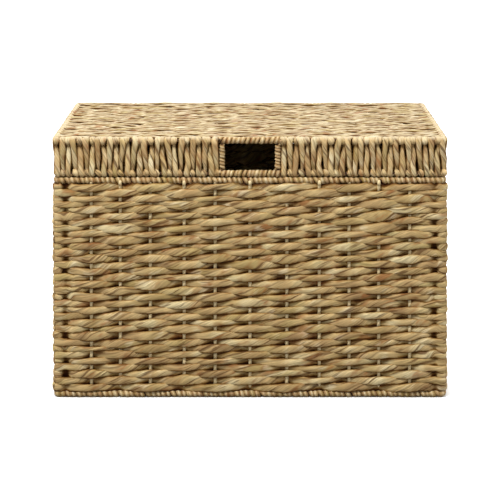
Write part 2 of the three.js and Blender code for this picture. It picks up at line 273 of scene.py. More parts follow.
wallStem = stemFinish("twistedStem", stem)
# the lid top is the same stem as the walls; its greyer, less yellow bands are painted sheen, the top light's
# whitish gloss seen at a grazing angle
lidStem = stemFinish("sheenPaintedStem", dict(
    stem, toneLength=0.03, patchLength=0.02, oliveLength=0.06, splitShare=0.5, streak=(0.74, 1.16),
    paleShare=0.65,
    bands=[tone(149, 126, 96), tone(177, 156, 121), tone(193, 175, 140), tone(212, 199, 167)]))
sideStem = stemFinish("laidStem", dict(
    stem, fibreCount=12, splitCount=6, creaseDark=0.55,
    bands=[tone(183, 148, 102), tone(208, 174, 122), tone(225, 196, 143), tone(241, 223, 179)]))
windingStem = stemFinish("woundStem", dict(
    stem, plies=1, creaseAt=0.5, toneLength=0.03, fibreCount=7, fibreLength=0.012, splitShare=0.25,
    splitCount=3.5, splitLength=0.0192, streak=(0.78, 1.2), hollowDark=0.85, oliveShare=0.7,
    bands=[tone(174, 143, 106), tone(198, 168, 127), tone(219, 195, 152), tone(239, 223, 187)]))
peeledCane = caneFinish("peeledCane", cane)
brownSteel = steelFinish("brownSteel", steel)
for name in ("body_frame", "lid_frame"):
    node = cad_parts[name]
    node.data.materials.clear()
    node.data.materials.append(brownSteel)
print("finishes made")


# Shared shapes

def added(name, data):
    # a new object in the scene, at the origin
    thing = bpy.data.objects.new(name, data)
    bpy.context.scene.collection.objects.link(thing)
    return thing


def joined(*parts):
    # the parts, each a grid or one number, side by side on a last axis
    return np.stack(np.broadcast_arrays(*parts), axis=-1)


def strandPiece(name, points, along, finish, body, nodes, paintedShading=None):
    # points[strand, ring, column]: face (i, j) joins rings i and i + 1 between columns j and j + 1, and a
    # polygon closes each end; the painted shading runs from -1 (painted highlight) over 0 to 1.3 (darkest
    # painted shade)
    count, rings, columns = points.shape[:3]
    index = np.arange(count * rings * columns).reshape(count, rings, columns)
    beside = np.roll(index, -1, axis=2)
    quads = joined(index[:, :-1], beside[:, :-1], beside[:, 1:], index[:, 1:]).reshape(-1, 4)
    caps = np.concatenate([index[:, 0, ::-1], index[:, -1]])
    flat = points.reshape(-1, 3)
    middle = points.mean(axis=2).reshape(-1, 3)[quads[:, 0] // columns]
    a, b, c, d = [flat[quads[:, k]] for k in range(4)]
    turn = 1 if np.sum(np.cross(c - a, d - b) * (a - middle)) >= 0 else -1  # so that all faces point outwards
    around = quads[:, :1] % columns + np.array([0, 1, 1, 0])
    loops = np.concatenate([part[:, ::turn].ravel() for part in (quads, caps)])
    around = np.concatenate([part[:, ::turn].ravel() for part in (around, caps % columns)])
    spot = joined(along.ravel()[loops // columns], around / columns)
    starts = np.concatenate([np.arange(len(quads)) * 4, quads.size + np.arange(len(caps)) * columns])
    mesh = bpy.data.meshes.new(name)
    mesh.vertices.add(len(flat))
    mesh.vertices.foreach_set("co", flat.astype(np.float32).ravel())
    mesh.loops.add(len(loops))
    mesh.loops.foreach_set("vertex_index", loops.astype(np.int32))
    mesh.polygons.add(len(starts))
    mesh.polygons.foreach_set("loop_start", starts.astype(np.int32))
    mesh.polygons.foreach_set("use_smooth", np.arange(len(starts)) < len(quads))
    mesh.uv_layers.new(name="strandMap").data.foreach_set("uv", spot.astype(np.float32).ravel())
    mesh.update(calc_edges=True)
    mesh.validate()
    if paintedShading is not None:
        deep = mesh.attributes.new("paintedShading", "FLOAT", "POINT")
        deep.data.foreach_set("value", paintedShading.astype(np.float32).ravel())
    mesh.materials.append(finish)
    piece = added(name, mesh)
    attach(piece, body)
    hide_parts(*nodes)


upright = np.array([0.0, 0.0, 1.0])


def level(angle):
    # the level direction at an angle from +X towards +Y: cos, sin and 0
    return joined(np.cos(angle), np.sin(angle), 0.0)


def unit(vectors):
    # each vector over its length
    return vectors / np.linalg.norm(vectors, axis=-1, keepdims=True)


def lengthAlong(line):
    # the sum of the steps of line[strand, ring] up to each ring
    step = np.linalg.norm(np.diff(line, axis=1), axis=-1)
    return np.concatenate([np.zeros((len(line), 1)), np.cumsum(step, axis=1)], axis=1)


def flared(points):
    # lean = flare * (1 - z / rim) below the rim; x grows by lean / railX, y by lean / railY
    lean = box["flare"] * np.maximum(0, 1 - points[..., 2] / box["rimRodZ"])
    out = points.copy()
    out[..., 0] *= 1 + lean / railX
    out[..., 1] *= 1 + lean / railY
    return out


def ringLine(reach):
    # the walls' rounded rectangle from the middle of its front left corner, by arc length: straight sides
    # and quarter arcs, with the outward direction turning evenly along each arc
    perArc = 17
    angle = -math.pi / 2 + (np.arange(4)[:, None] + np.linspace(0, 1, perArc)) * math.pi / 2
    x = np.array([[1], [1], [-1], [-1]]) * (railX - box["bend"]) + box["bend"] * np.cos(angle)
    y = np.array([[-1], [1], [1], [-1]]) * (railY - box["bend"]) + box["bend"] * np.sin(angle)
    start = 3 * perArc + perArc // 2  # the middle of the last corner, front left
    x, y, angle = [np.concatenate([part.ravel()[start:], part.ravel()[:start + 1]]) for part in (x, y, angle)]
    angle[:4 * perArc - start] -= 2 * math.pi
    length = np.concatenate([[0], np.cumsum(np.hypot(np.diff(x), np.diff(y)))])
    lap = np.floor(reach / length[-1] * (1 - 1e-9))
    reach = reach - lap * length[-1]
    place = joined(np.interp(reach, length, x), np.interp(reach, length, y))
    return place, np.interp(reach, length, angle) + 2 * math.pi * lap, length[-1]


cornerArc = box["bend"] * math.pi / 2
sideRun = 2 * (railX - box["bend"])
endRun = 2 * (railY - box["bend"])
postReach = np.cumsum([0] + 2 * [sideRun + cornerArc, endRun + cornerArc])  # the middles of the corners


def ringCrossings():
    # the arc lengths of what a strand crosses, from each corner on: the corner, a slim rod, a place where
    # all rows lie alike, the stakes, such a place and a slim rod; side is -1 or 1 where rows take turns,
    # 0 at a corner and 2 where they lie alike
    near = np.array([box["slimRod"], box["rowsMeet"]])
    reach, side = [], []
    for k in range(4):
        run, places = ((sideRun, stakeX), (endRun, stakeY))[k % 2]
        if k > 1:
            places = -places[::-1]
        start = postReach[k] + cornerArc / 2
        reach += [[postReach[k]], start + np.concatenate([near, run / 2 + places, run - near[::-1]])]
        turns = np.where((np.arange(len(places) + 2) + k) % 2 == 0, -1.0, 1.0)
        side += [[0.0], turns[:1], [2.0], turns[1:-1], [2.0], turns[-1:]]
    return np.concatenate(reach + [[postReach[4]]]), np.concatenate(side + [[0.0]])


crossingReach, crossingSide = ringCrossings()
cornerAt = np.flatnonzero(crossingSide == 0)


def eased(share):
    # 0 below 0, 1 above 1, and t * t * (3 - 2 t) between
    t = np.clip(share, 0, 1)
    return t * t * (3 - 2 * t)


def between(values, index):
    # values[row, k] at a fractional k, one for all rows or index[row, place], eased from each to the next
    index = np.broadcast_to(index, (len(values), np.shape(index)[-1]))
    low = np.clip(np.floor(index).astype(int), 0, values.shape[1] - 2)
    share = eased(index - low)
    return np.take_along_axis(values, low, 1) * (1 - share) + np.take_along_axis(values, low + 1, 1) * share


def drawn(rng, shape, index, middle, spread, least=-np.inf, most=np.inf):
    # normally spread random values, kept from least to most, eased from each to the next
    return between(np.clip(rng.normal(middle, spread, shape), least, most), index)


strand = {
    "full": 1.04,  # radius share half way between two creases
    "passAt": 0.85,  # where round a strand the larger of its two heights gives way to the smaller
    "passBy": 0.5,
}
# how the painted crevice shade spreads
paintedShadeSpread = {
    "turn": 0.8,  # how soon the painted shade of the hollow seen from outside gives way to that of the one seen from inside
    "ridgeSpan": 0.22,
    "ridgeMost": 2.0,
}


def section(centre, outward, upward, thick, highOut, highIn, twist, settings):
    # ring point = centre + outward * thick * r * c + upward * high * (1 + r) / 2 * s, where p = column angle
    # + twist, c and s are its cosine and sine to the power of square, and r = full - crease * |cos(plies *
    # column angle / 2)| ^ 3; high is the larger of highOut and highIn on its own face and at the ridges,
    # and eases to the smaller on the other face, as passAt + passBy * cos(p) towards the larger falls
    thick, highOut, highIn, twist = [np.broadcast_to(value, centre.shape[:-1])[..., None]
                                     for value in (thick, highOut, highIn, twist)]
    angle = 2 * math.pi * np.arange(settings["columns"]) / settings["columns"]
    r = strand["full"] - settings["crease"] * np.abs(np.cos(settings["plies"] * angle / 2)) ** 3
    p = angle + twist
    towards = np.where(highOut >= highIn, 1.0, -1.0) * np.cos(p)
    share = eased(strand["passAt"] + strand["passBy"] * towards)
    high = np.minimum(highIn, highOut) * (1 - share) + np.maximum(highIn, highOut) * share
    out = thick * r * np.sign(np.cos(p)) * np.abs(np.cos(p)) ** settings["square"]
    up = high * (1 + r) / 2 * np.sign(np.sin(p)) * np.abs(np.sin(p)) ** settings["square"]
    points = (centre[..., None, :] + out[..., None] * outward[..., None, :]
              + up[..., None] * upward[..., None, :])
    return points, out, p


def besideRod(line):
    # away = unit(course x X), at right angles to a rod along X, and across = unit(course x away)
    course = unit(np.gradient(line, axis=0))
    away = unit(np.cross(course, [1.0, 0, 0]))
    return away, unit(np.cross(course, away))


def paintedCreviceShade(settings, out, facing, start, p, edge, edgeShare, above=1.0):
    # painted shade of the crevices: on the outward face a point gets darker as it lies further in than start,
    # on the inward face as it lies further out: eased((start - out) / hollowSpan), blended by where the point
    # faces; and towards its strand's own ridges by edgeShare * (edge - |cos(p)|) / ridgeSpan, times above on
    # the upper one, which is less shaded as the light comes from above
    outer = eased((start - out) / settings["hollowSpan"])
    inner = eased((start + out) / settings["hollowSpan"])
    side = eased(0.5 + paintedShadeSpread["turn"] * facing)
    upper = 1 - (1 - above) * eased(0.5 + np.sin(p))
    ridge = np.clip((edge - np.abs(np.cos(p))) / paintedShadeSpread["ridgeSpan"], 0, paintedShadeSpread["ridgeMost"])
    return np.maximum(side * outer + (1 - side) * inner, edgeShare * upper * ridge)


# Weaves

uneven = {
    "size": (0.1, 0.88, 1.25),  # spread, least and most of a strand's height at a crossing, about 1
    "push": (0.1, 0.8, 1.2),  # and of its sway
    "turns": 0.16,  # spread of how fast it is twisted, about 1
    "drift": 0.7,  # and of how far its twist is out at a crossing
    "layerStep": 2.37,  # metres between two rows in the finish's noise
}


def weave(settings, crossing, index, rng):
    # side = 1 in front of what a strand crosses and -1 behind it, eased between; front = (1 + side) / 2;
    # depth = 2 front ^ dive - 1; sway = depth * sway (or swayInside) + crown * (1 - depth ^ 2); away = 1 -
    # 2 / pi * arcsin(root of front), 0 in front and 1 behind. Rows share uneven borders, and each fills the
    # height between its two; on a face, half height goes from highBehind over highMiddle to highFront, or
    # over middleInside to highInside on the inward face, as the strand comes to it
    rows, crossings = crossing.shape
    shift = drawn(rng, crossing.shape, index, 0, settings["shift"])
    side = between(crossing, np.clip(index + shift, 0, crossings - 1))
    size = drawn(rng, crossing.shape, index, 1, *uneven["size"])
    border = rng.normal(0, settings["wander"], (rows + 1, crossings))
    border[[0, -1]] = [[-settings["border"]], [settings["border"]]]
    border = between(border, index)
    spare = (border[1:] - border[:-1]) / 2
    push = drawn(rng, crossing.shape, index, 1, *uneven["push"])
    turns = rng.normal(1, uneven["turns"], (rows, 1))
    drift = drawn(rng, crossing.shape, index, 0, uneven["drift"])
    phase = rng.uniform(0, 2 * math.pi, (rows, 1))

    front = np.clip((1 + side) / 2, 0, 1)
    depth = np.where(side > -1, 2 * front ** settings["dive"] - 1, side)
    away = 1 - 2 / math.pi * np.arcsin(np.sqrt(front))
    sway = np.where(depth > 0, settings["sway"], settings["swayInside"]) * depth * push

    def high(face, most, middle):
        face = np.clip(face, -1, 1)
        change = np.where(face > 0, most - middle, middle - settings["highBehind"]) * face
        return middle + change + spare * (1 + np.minimum(face, 0))

    return {
        "side": side,
        "front": front,
        "away": away,
        "sway": sway + settings["crown"] * (1 - np.minimum(depth ** 2, 1)),
        "out": high(1 - 2 * away, settings["highFront"] * size, settings["highMiddle"]),
        "in": high(-side, settings["highInside"] * np.maximum(size, 1), settings["middleInside"]),
        "thick": settings["thick"] * np.sqrt(size),
        "rise": (border[1:] + border[:-1]) / 2,
        "turns": turns,
        "drift": drift,
        "phase": phase,
    }


def woven(settings, wave, centre, outward, upward, twist, full=1.0):
    # the weave's strands and their painted crevice shade: the painted dark edge is wider by edgeMiddle half
    # way between crossings, and by edgeBehind on the face that what the strand crosses covers, where above
    # rises to 1
    points, out, p = section(centre, outward, upward, wave["thick"] * full, wave["out"] * full,
                             wave["in"] * full, wave["phase"] + twist + wave["drift"], settings)
    side = wave["side"][..., None]
    behind = np.maximum(0, -side * np.sign(np.cos(p)))
    edge = settings["edge"] + settings["edgeMiddle"] * (1 - np.abs(side)) + settings["edgeBehind"] * behind
    above = settings["above"] + (1 - settings["above"]) * behind
    return points, paintedCreviceShade(settings, wave["sway"][..., None] + out, np.cos(p), settings["hollowStart"], p,
                              edge, settings["edgeShare"], above)


# Walls

walls = {
    "seed": 11,
    "rows": 33,
    "perBay": 12,  # rings from one stake to the next
    "columns": 12,
    "plies": 2,
    "crease": 0.18,
    "square": 0.8,
    "sway": 0.0040,  # how far a strand's middle passes in front of a stake
    "swayInside": 0.0033,  # and behind it
    "crown": 0.0008,  # how far it stands out half way between
    "dive": 0.6,  # the lower, the more suddenly a strand goes behind a stake
    "topSway": 0.5,  # the back's top row lies flatter, clear of the open lid
    "cornerSide": 0.85,  # the sway at the middle of a corner, as a share, for every row
    "besideFront": 0.5,  # at the slim rod next to a corner
    "besideBehind": -1.4,
    "besideUneven": (0.55, 1.2),
    "rowsMeet": 0.35,  # where every row lies alike, a little further on
    "thick": 0.0037,
    "highFront": 0.0074,  # half height where a strand shows in front
    "highMiddle": 0.0055,  # and half way between
    "highInside": 0.0120,  # and where it shows inside the box
    "middleInside": 0.0078,
    "highBehind": 0.0020,
    "twistLength": 0.115,
    "wander": 0.0013,  # how unevenly the rows meet
    "slant": 0.0022,  # a strand comes out this much lower, and goes in as much higher
    "slantDrop": 0.03,  # share of front over which it drops back behind a stake
    "slantFrom": 1.5,  # in bays from a corner
    "border": 0.0012,  # how far the first and last rows reach over the walls' ends
    "topLower": 0.0011,  # how much lower the top row lies at the front and sides, under the rim winding
    "packed": 0.26,  # the rows get lower towards the rim, from this share of the height up
    "packedFrom": 0.45,
    "shift": 0.06,  # how far, in bays, a strand passes a stake early or late
    # painted shade: where a strand lies back behind a stake, and along its ridges in the crevices between
    # rows, less on the upper ridge (above) as the light comes from above
    "hollowStart": 0.0002,
    "hollowSpan": 0.0026,
    "edge": 0.70,
    "edgeMiddle": 0.0,
    "edgeBehind": 0.32,
    "edgeShare": 1.0,
    "above": 0.3,
}


def rowMiddles():
    # row heights shrink as 1 - packed * (share - packedFrom) above packedFrom, and fill the wall together
    share = (np.arange(walls["rows"]) + 0.5) / walls["rows"]
    tall = 1 - walls["packed"] * np.maximum(0, share - walls["packedFrom"])
    tall *= (box["wallTop"] - box["wallBottom"]) / tall.sum()
    return box["wallBottom"] + np.cumsum(tall) - tall / 2


def buildWalls():
    # a strand's middle = the ring line + outward * sway, at its row's height + rise + slant, where slant is
    # down before a crossing and up after it by away; each row goes all the way round, with a whole number
    # of twists, and is cut at the corners
    rng = np.random.default_rng(walls["seed"])
    rows, perBay = walls["rows"], walls["perBay"]
    crossings = len(crossingReach)
    index = np.arange((crossings - 1) * perBay + 1) / perBay
    reach = np.interp(index, np.arange(crossings), crossingReach)
    place, angle, total = ringLine(reach)
    outward = level(angle)
    turned = np.where(np.arange(rows) % 2 == rows % 2, -1.0, 1.0)[:, None]
    crossing = np.where(crossingSide == 0, walls["cornerSide"], crossingSide * turned)
    crossing[:, crossingSide == 2] = walls["rowsMeet"]
    beside = np.concatenate([cornerAt[1:] - 1, cornerAt[:-1] + 1])
    crossing[:, beside] = np.where(crossing[:, beside] > 0, walls["besideFront"], walls["besideBehind"])
    crossing[:, beside] *= rng.uniform(*walls["besideUneven"], (rows, len(beside)))
    wave = weave(walls, crossing, index, rng)
    atBack = eased(np.minimum(index - cornerAt[2], cornerAt[3] - index))
    wave["sway"][-1] *= 1 - (1 - walls["topSway"]) * atBack
    wave["rise"][-1] -= walls["topLower"] * (1 - atBack)
    wave["out"][-1] -= walls["topLower"] * (1 - atBack)
    fromCorner = np.abs(index[:, None] - cornerAt).min(axis=1)
    slant = -np.sign(np.gradient(wave["side"], axis=1)) * wave["away"]
    slant = slant * eased(wave["front"] / walls["slantDrop"])
    slant = walls["slant"] * eased(fromCorner - walls["slantFrom"]) * slant
    x, y = [place[:, k] + outward[:, k] * wave["sway"] for k in range(2)]
    centre = joined(x, y, rowMiddles()[:, None] + wave["rise"] + slant)
    turnCount = np.round(total / walls["twistLength"] * wave["turns"])
    twist = 2 * math.pi * turnCount * reach / total
    points, paintedShading = woven(walls, wave, centre, outward, upright, twist)
    points = flared(points)
    along = reach + uneven["layerStep"] * np.arange(rows)[:, None]
    for k, name in enumerate(("front", "right", "back", "left")):
        cut = slice(cornerAt[k] * perBay, cornerAt[k + 1] * perBay + 1)
        strandPiece("wallStrands_" + name, points[:, cut], along[:, cut], wallStem, "root",
                    ["wall_weave_" + name], paintedShading[:, cut])


buildWalls()
print("walls woven")


# Stakes

stakes = {
    "radius": 0.0025,
    "lidRadius": 0.0020,
    "columns": 8,
    "perRow": 3,
    "perBend": 6,
    "endRings": 7,
    "floorRings": 60,
    "lidRings": 80,
    "floorZ": 0.01075,
    "crossZ": 0.00625,
    "bend": 0.012,
    "sway": 0.0016,  # how far a stake is pushed out where a strand passes behind it
    "topGap": 0.0004,
    "endTop": 0.3384,  # the front ends come up over the rim's winding, and back in
    "endBulge": 0.0033,
    "endRound": 0.7,  # the lower, the fuller the bulge
    "lidReach": 0.1878,
}


def stakePiece(name, number, along, x, y, z, radius, body):
    # a round tube along the line of x, y and z, each a row of values or one for all: ring = line + radius *
    # (up * cos(a) + across * sin(a)), up = unit(direction x the level axis that the stake doesn't follow)
    line = joined(x, y, z)[None]
    cross = np.array([1.0, 0, 0]) if np.ptp(line[..., 0]) < np.ptp(line[..., 1]) else np.array([0, 1.0, 0])
    direction = unit(np.gradient(line, axis=1))
    upward = unit(np.cross(direction, cross))
    across = unit(np.cross(upward, direction))
    angle = 2 * math.pi * np.arange(stakes["columns"]) / stakes["columns"]
    ring = np.cos(angle)[:, None] * upward[..., None, :] + np.sin(angle)[:, None] * across[..., None, :]
    points = line[..., None, :] + radius * ring
    if body == "root":
        points = flared(points)
    strandPiece(name + "Stake_" + str(number), points, lengthAlong(line) + along, peeledCane, body,
                [name + "_stake_" + str(number)])


def stakeLine(reach, floorZ, wallSway):
    # one U in its own plane: down the wall, pushed out and in by sway * cos(pi * row), round a quarter arc,
    # across the floor and up
    bend = stakes["bend"]
    z = np.linspace(box["wallTop"] - stakes["topGap"], floorZ + bend, walls["rows"] * stakes["perRow"] - 2)
    sway = wallSway * np.cos(math.pi * np.interp(z, rowMiddles(), np.arange(walls["rows"])))
    wall = joined(-reach - sway, z)
    arc = np.linspace(0, math.pi / 2, stakes["perBend"] + 1)[1:]
    corner = joined(-reach + bend * (1 - np.cos(arc)), floorZ + bend * (1 - np.sin(arc)))
    run = np.linspace(-reach + bend, reach - bend, stakes["floorRings"])[1:-1]
    left = np.concatenate([wall, corner])
    return np.concatenate([left, joined(run, floorZ), left[::-1] * [-1, 1]])


def buildStakes():
    # a long stake's front end goes up over the rim winding and bulges by sin(pi * t) ^ endRound; stakes
    # are pushed out and in by turns, as the rows are
    for k, x in enumerate(stakeX):
        line = stakeLine(railY, stakes["floorZ"], stakes["sway"] * (-1 if k % 2 == 0 else 1))
        over = np.linspace(0, 1, stakes["endRings"] + 1)[:-1]
        bulge = stakes["endBulge"] * np.sin(math.pi * (1 - over)) ** stakes["endRound"]
        rise = stakes["endTop"] + (line[0, 1] - stakes["endTop"]) * over
        line = np.concatenate([joined(line[0, 0] - bulge, rise), line])
        stakePiece("long", k + 1, k, x, line[:, 0], line[:, 1], stakes["radius"], "root")
    for k, y in enumerate(stakeY):
        line = stakeLine(railX, stakes["crossZ"], stakes["sway"] * (1 if k % 2 == 0 else -1))
        stakePiece("cross", k + 1, 20 + k, line[:, 0], y, line[:, 1], stakes["radius"], "root")
    run = np.linspace(-stakes["lidReach"], stakes["lidReach"], stakes["lidRings"])
    for k, x in enumerate(stakeX):
        stakePiece("lid", k + 1, 40 + k, x, run, box["lidWeaveZ"], stakes["lidRadius"], "lid")


buildStakes()
print("stakes set")


# Windings round the rods

windings = {
    "columns": 6,
    "perTurn": 12,
    "plies": 2,
    "crease": 0.06,
    "square": 1.0,
    "loose": 0.09,  # spread of a turn's distance from its rod, as a share
    "widths": (1.04, 0.14, 0.92, 1.35),  # middle, spread, least and most of a turn's width over wide
    "early": 0.09,  # how far, in turns, a turn comes early or late
    # painted shade at each turn's sides, where it presses on the next turns
    "paintedShading": 0.85,
    "hollowPower": 6,
    "cornerLap": 0.002,  # how far the windings of two sides pass each other at a corner
    "endCoil": 0.9,  # how far inside its end, over wide, a winding's last half turn lies still
    "layerStep": 3.1,
    "handReach": 0.0465,  # half the length of those below and above the hand opening
    "handAbove": 0.0056,  # where those beside it begin, above the bottom rod
    "handBelow": 0.0057,  # and end, below the top one
    "rim": {"turn": 0.0077, "radius": 0.0028, "thick": 0.0026, "wide": 0.0038},
    "base": {"turn": 0.0080, "radius": 0.0028, "thick": 0.0027, "wide": 0.0040},
    "handBottom": {"turn": 0.0063, "radius": 0.0028, "thick": 0.0025, "wide": 0.0032},
    "handTop": {"turn": 0.0072, "radius": 0.0028, "thick": 0.0026, "wide": 0.0034},
    "handSide": {"turn": 0.0050, "radius": 0.0025, "thick": 0.0021, "wide": 0.0026},
}


def winding(kind, name, reach, place, outward, upward, shape, hand, body, seed):
    # middle = place + radius * q, q = outward * cos(a) + upward * sin(a), a = hand * 2 pi * reach / turn;
    # the strand is thick along q and wide across its own course
    rng = np.random.default_rng(seed)
    turns = reach / shape["turn"]
    count = (1, int(turns.max() - turns.min()) + 3)
    loose = drawn(rng, count, turns - turns.min(), 1, windings["loose"])[0]
    wide = shape["wide"] * drawn(rng, count, turns - turns.min(), *windings["widths"])[0]
    early = drawn(rng, count, turns - turns.min(), 0, windings["early"])[0]
    angle = hand * 2 * math.pi * (turns + early)[:, None]
    away = outward * np.cos(angle) + upward * np.sin(angle)
    middle = place + away * (shape["radius"] * loose)[:, None]
    across = unit(np.cross(unit(np.gradient(middle, axis=0)), away))
    points, _, p = section(middle[None], away, across, shape["thick"], wide, wide, 0, windings)
    if body == "root":
        points = flared(points)
    along = lengthAlong(points.mean(axis=2)) + seed * windings["layerStep"]
    # painted shade towards the turn's sides, by sin ^ hollowPower
    paintedShading = windings["paintedShading"] * np.sin(p) ** windings["hollowPower"]
    strandPiece(kind + "Winding_" + name, points, along, windingStem, body,
                [kind + "_wrap_" + name], paintedShading)


def handWinding(name, start, end, shape, seed):
    # one of the four straight rods round the hand opening, wound from start to end
    start, end = np.array(start), np.array(end)
    span = np.linalg.norm(end - start)
    reach = np.linspace(0, span, int(span / shape["turn"] * windings["perTurn"]) + 1)
    direction = (end - start) / span
    outward = np.array([0, -1.0, 0])
    winding("hand", name, reach, start + reach[:, None] * direction, outward, np.cross(outward, direction),
            shape, 1, "lid", seed)


def ringWinding(kind, name, start, end, seed):
    # the same round a stretch of the rim or base rod; the last half turn at each end lies still, and
    # closes the coil
    shape = windings[kind]
    spare = shape["turn"] / 2
    inside = shape["wide"] * windings["endCoil"]
    count = int((end - start + 2 * spare) / shape["turn"] * windings["perTurn"]) + 1
    reach = np.linspace(start - spare, end + spare, count)
    line, angle, _ = ringLine(np.clip(reach, start + inside, end - inside))
    place = joined(*line.T, box[kind + "RodZ"])
    winding(kind, name, reach, place, level(angle), upright, shape, -1, "root", seed)


hinge = {
    "place": 0.172,
    "width": 0.014,
    "gap": 0.0006,  # to the rim winding on each side
    "turns": 5,
    "perTurn": 24,
    "columns": 8,
    "plies": 2,
    "crease": 0.06,
    "square": 1.0,
    "radius": 0.0034,
    "thick": 0.0015,
    "wide": 0.0017,
    "steep": 4,  # how quickly a loop passes from one rod to the other
    "loose": 0.06,
    "looseRate": 0.37,
    "hollowPower": 4,
}


def buildWindings():
    # the last number of each call is its random seed
    lap = windings["cornerLap"]
    for k, name in enumerate(("front", "right", "back", "left")):
        start, end = postReach[k] - lap, postReach[k + 1] + lap
        ringWinding("base", name, start, end, 30 + k)
        if name != "back":
            ringWinding("rim", name, start, end, 40 + k)
    middle = (postReach[2] + postReach[3]) / 2
    halfLoop = hinge["width"] / 2 + hinge["gap"]
    right, left = middle - hinge["place"], middle + hinge["place"]
    ringWinding("rim", "back_right", postReach[2] - lap, right - halfLoop, 50)
    ringWinding("rim", "back_middle", right + halfLoop, left - halfLoop, 51)
    ringWinding("rim", "back_left", left + halfLoop, postReach[3] + lap, 52)
    half, bottom, top = windings["handReach"], box["lidRodZ"], box["lidWeaveZ"]
    handWinding("bottom", (-half, -railY, bottom), (half, -railY, bottom), windings["handBottom"], 60)
    handWinding("top", (-half, -railY, top), (half, -railY, top), windings["handTop"], 61)
    low, high = bottom + windings["handAbove"], top - windings["handBelow"]
    for name, x, seed in (("left", -box["sideRodX"], 62), ("right", box["sideRodX"], 63)):
        handWinding(name, (x, -railY, low), (x, -railY, high), windings["handSide"], seed)


def buildHinges():
    # loop round both rods: y = radius * cos(a), z = between the rods by clip(steep * sin(a)) + radius *
    # sin(a), moving evenly along X
    for k, (name, x) in enumerate((("left", -hinge["place"]), ("right", hinge["place"]))):
        rng = np.random.default_rng(70 + k)
        angle = np.linspace(0, 2 * math.pi * hinge["turns"], hinge["turns"] * hinge["perTurn"] + 1)
        lift = (box["lidRodZ"] - box["rimRodZ"]) / 2 * np.clip(hinge["steep"] * np.sin(angle), -1, 1)
        run = x + (hinge["width"] - 2 * hinge["wide"]) * (angle / angle[-1] - 0.5)
        loose = 1 + hinge["loose"] * np.sin(angle * hinge["looseRate"] + rng.uniform(0, 6))
        y = railY + hinge["radius"] * loose * np.cos(angle)
        z = (box["rimRodZ"] + box["lidRodZ"]) / 2 + lift + hinge["radius"] * loose * np.sin(angle)
        line = joined(run, y, z)
        # painted shade towards the loops' sides, by sin ^ hollowPower
        points, _, p = section(line[None], *besideRod(line), hinge["thick"], hinge["wide"], hinge["wide"], 0,
                               hinge)
        strandPiece("hingeLashing_" + name, points, lengthAlong(line[None]) + 90 + k, windingStem,
                    "lid", ["hinge_loop_" + name], np.sin(p) ** hinge["hollowPower"])


buildWindings()
buildHinges()
print("rods wound")


# Lid sides: one strand laid in figures of eight round the lid's two rods

apron = {
    "pitch": 0.00885,  # from one upright strand to the next
    "beyondX": 0.0032,  # how far the front and back reach past the side rods
    "beyondY": -0.002,  # and the sides past the front and back ones
    "endGap": 0.003,
    "bottomRadius": 0.0027,
    "topRadius": 0.0033,
    "thick": 0.0026,
    "wide": 0.00106,  # the unit of the half widths below
    "wideUneven": 0.08,
    "columns": 10,
    "plies": 2,
    "crease": 0.16,
    "square": 0.85,
    "twistLength": 0.06,
    "twistSway": 0.35,
    "swayRate": 0.21,
    "perStep": 2,
    "scatter": 0.0008,
    "scatterOut": 0.3,
    "lean": 0.0026,
    "hollowStart": 0.0010,
    "hollowSpan": 0.004,
    "rodReach": 0.004,  # the loops over the rods, up to here, get no painted crevice shade
    "rodEase": 0.003,
    "paintedHighlightShare": 0.75,  # painted highlight on the loops' tops, for the top light falling on them, as a share
    "paintedHighlightFrom": 0.0015,
    "paintedHighlightEase": 0.003,
    "edge": 0.6,
    "edgeShare": 0.6,
    "layerStep": 5.3,
}
# One period of the strand: across in pitches, outwards in rod radii, height from the bottom rod (0)
# to the top rod (1) and in rod radii beside it, and half width
eight = np.array([
    (0.10, 0.0, 1.0, 1.0, 4.3),
    (0.04, 1.0, 1.0, 0.1, 5.0),
    (0.00, 0.8, 0.74, 0.0, 4.6),
    (0.05, 0.1, 0.45, 0.0, 4.3),
    (0.10, -0.7, 0.2, 0.0, 3.5),
    (0.12, -1.0, 0.0, 0.0, 2.5),
    (0.16, 0.0, 0.0, -1.0, 3.2),
    (0.02, 1.0, 0.0, 0.25, 4.7),
    (-0.18, 0.0, 0.0, 1.5, 3.4),
    (-0.45, -1.0, 0.0, 0.0, 2.6),
    (-0.80, 0.0, 0.0, -1.0, 3.4),
    (-0.98, 1.0, 0.0, -0.1, 4.5),
    (-1.00, 0.8, 0.26, 0.0, 4.6),
    (-0.98, 0.1, 0.55, 0.0, 4.2),
    (-0.98, -0.7, 0.8, 0.0, 3.4),
    (-1.00, -1.0, 1.0, 0.0, 2.5),
    (-1.00, 0.0, 1.0, 1.0, 4.3),
    (-1.04, 1.0, 1.0, -0.25, 5.3),
    (-1.16, 0.0, 1.0, -1.5, 3.8),
    (-1.45, -1.0, 1.0, 0.0, 2.6),
])


def through(values, count):
    # a smooth curve through evenly numbered values, count steps from one to the next: the cubic whose
    # slope at each value is half the step between its two neighbours
    t = np.arange((len(values) - 3) * count + 1) / count
    low = np.minimum(t.astype(int), len(values) - 4)
    s = (t - low)[:, None]
    a, b, c, d = [values[low + k] for k in range(4)]
    square = 2 * a - 5 * b + 4 * c - d
    cubic = 3 * b - a - 3 * c + d
    return 0.5 * (2 * b + (c - a) * s + square * s ** 2 + cubic * s ** 3)


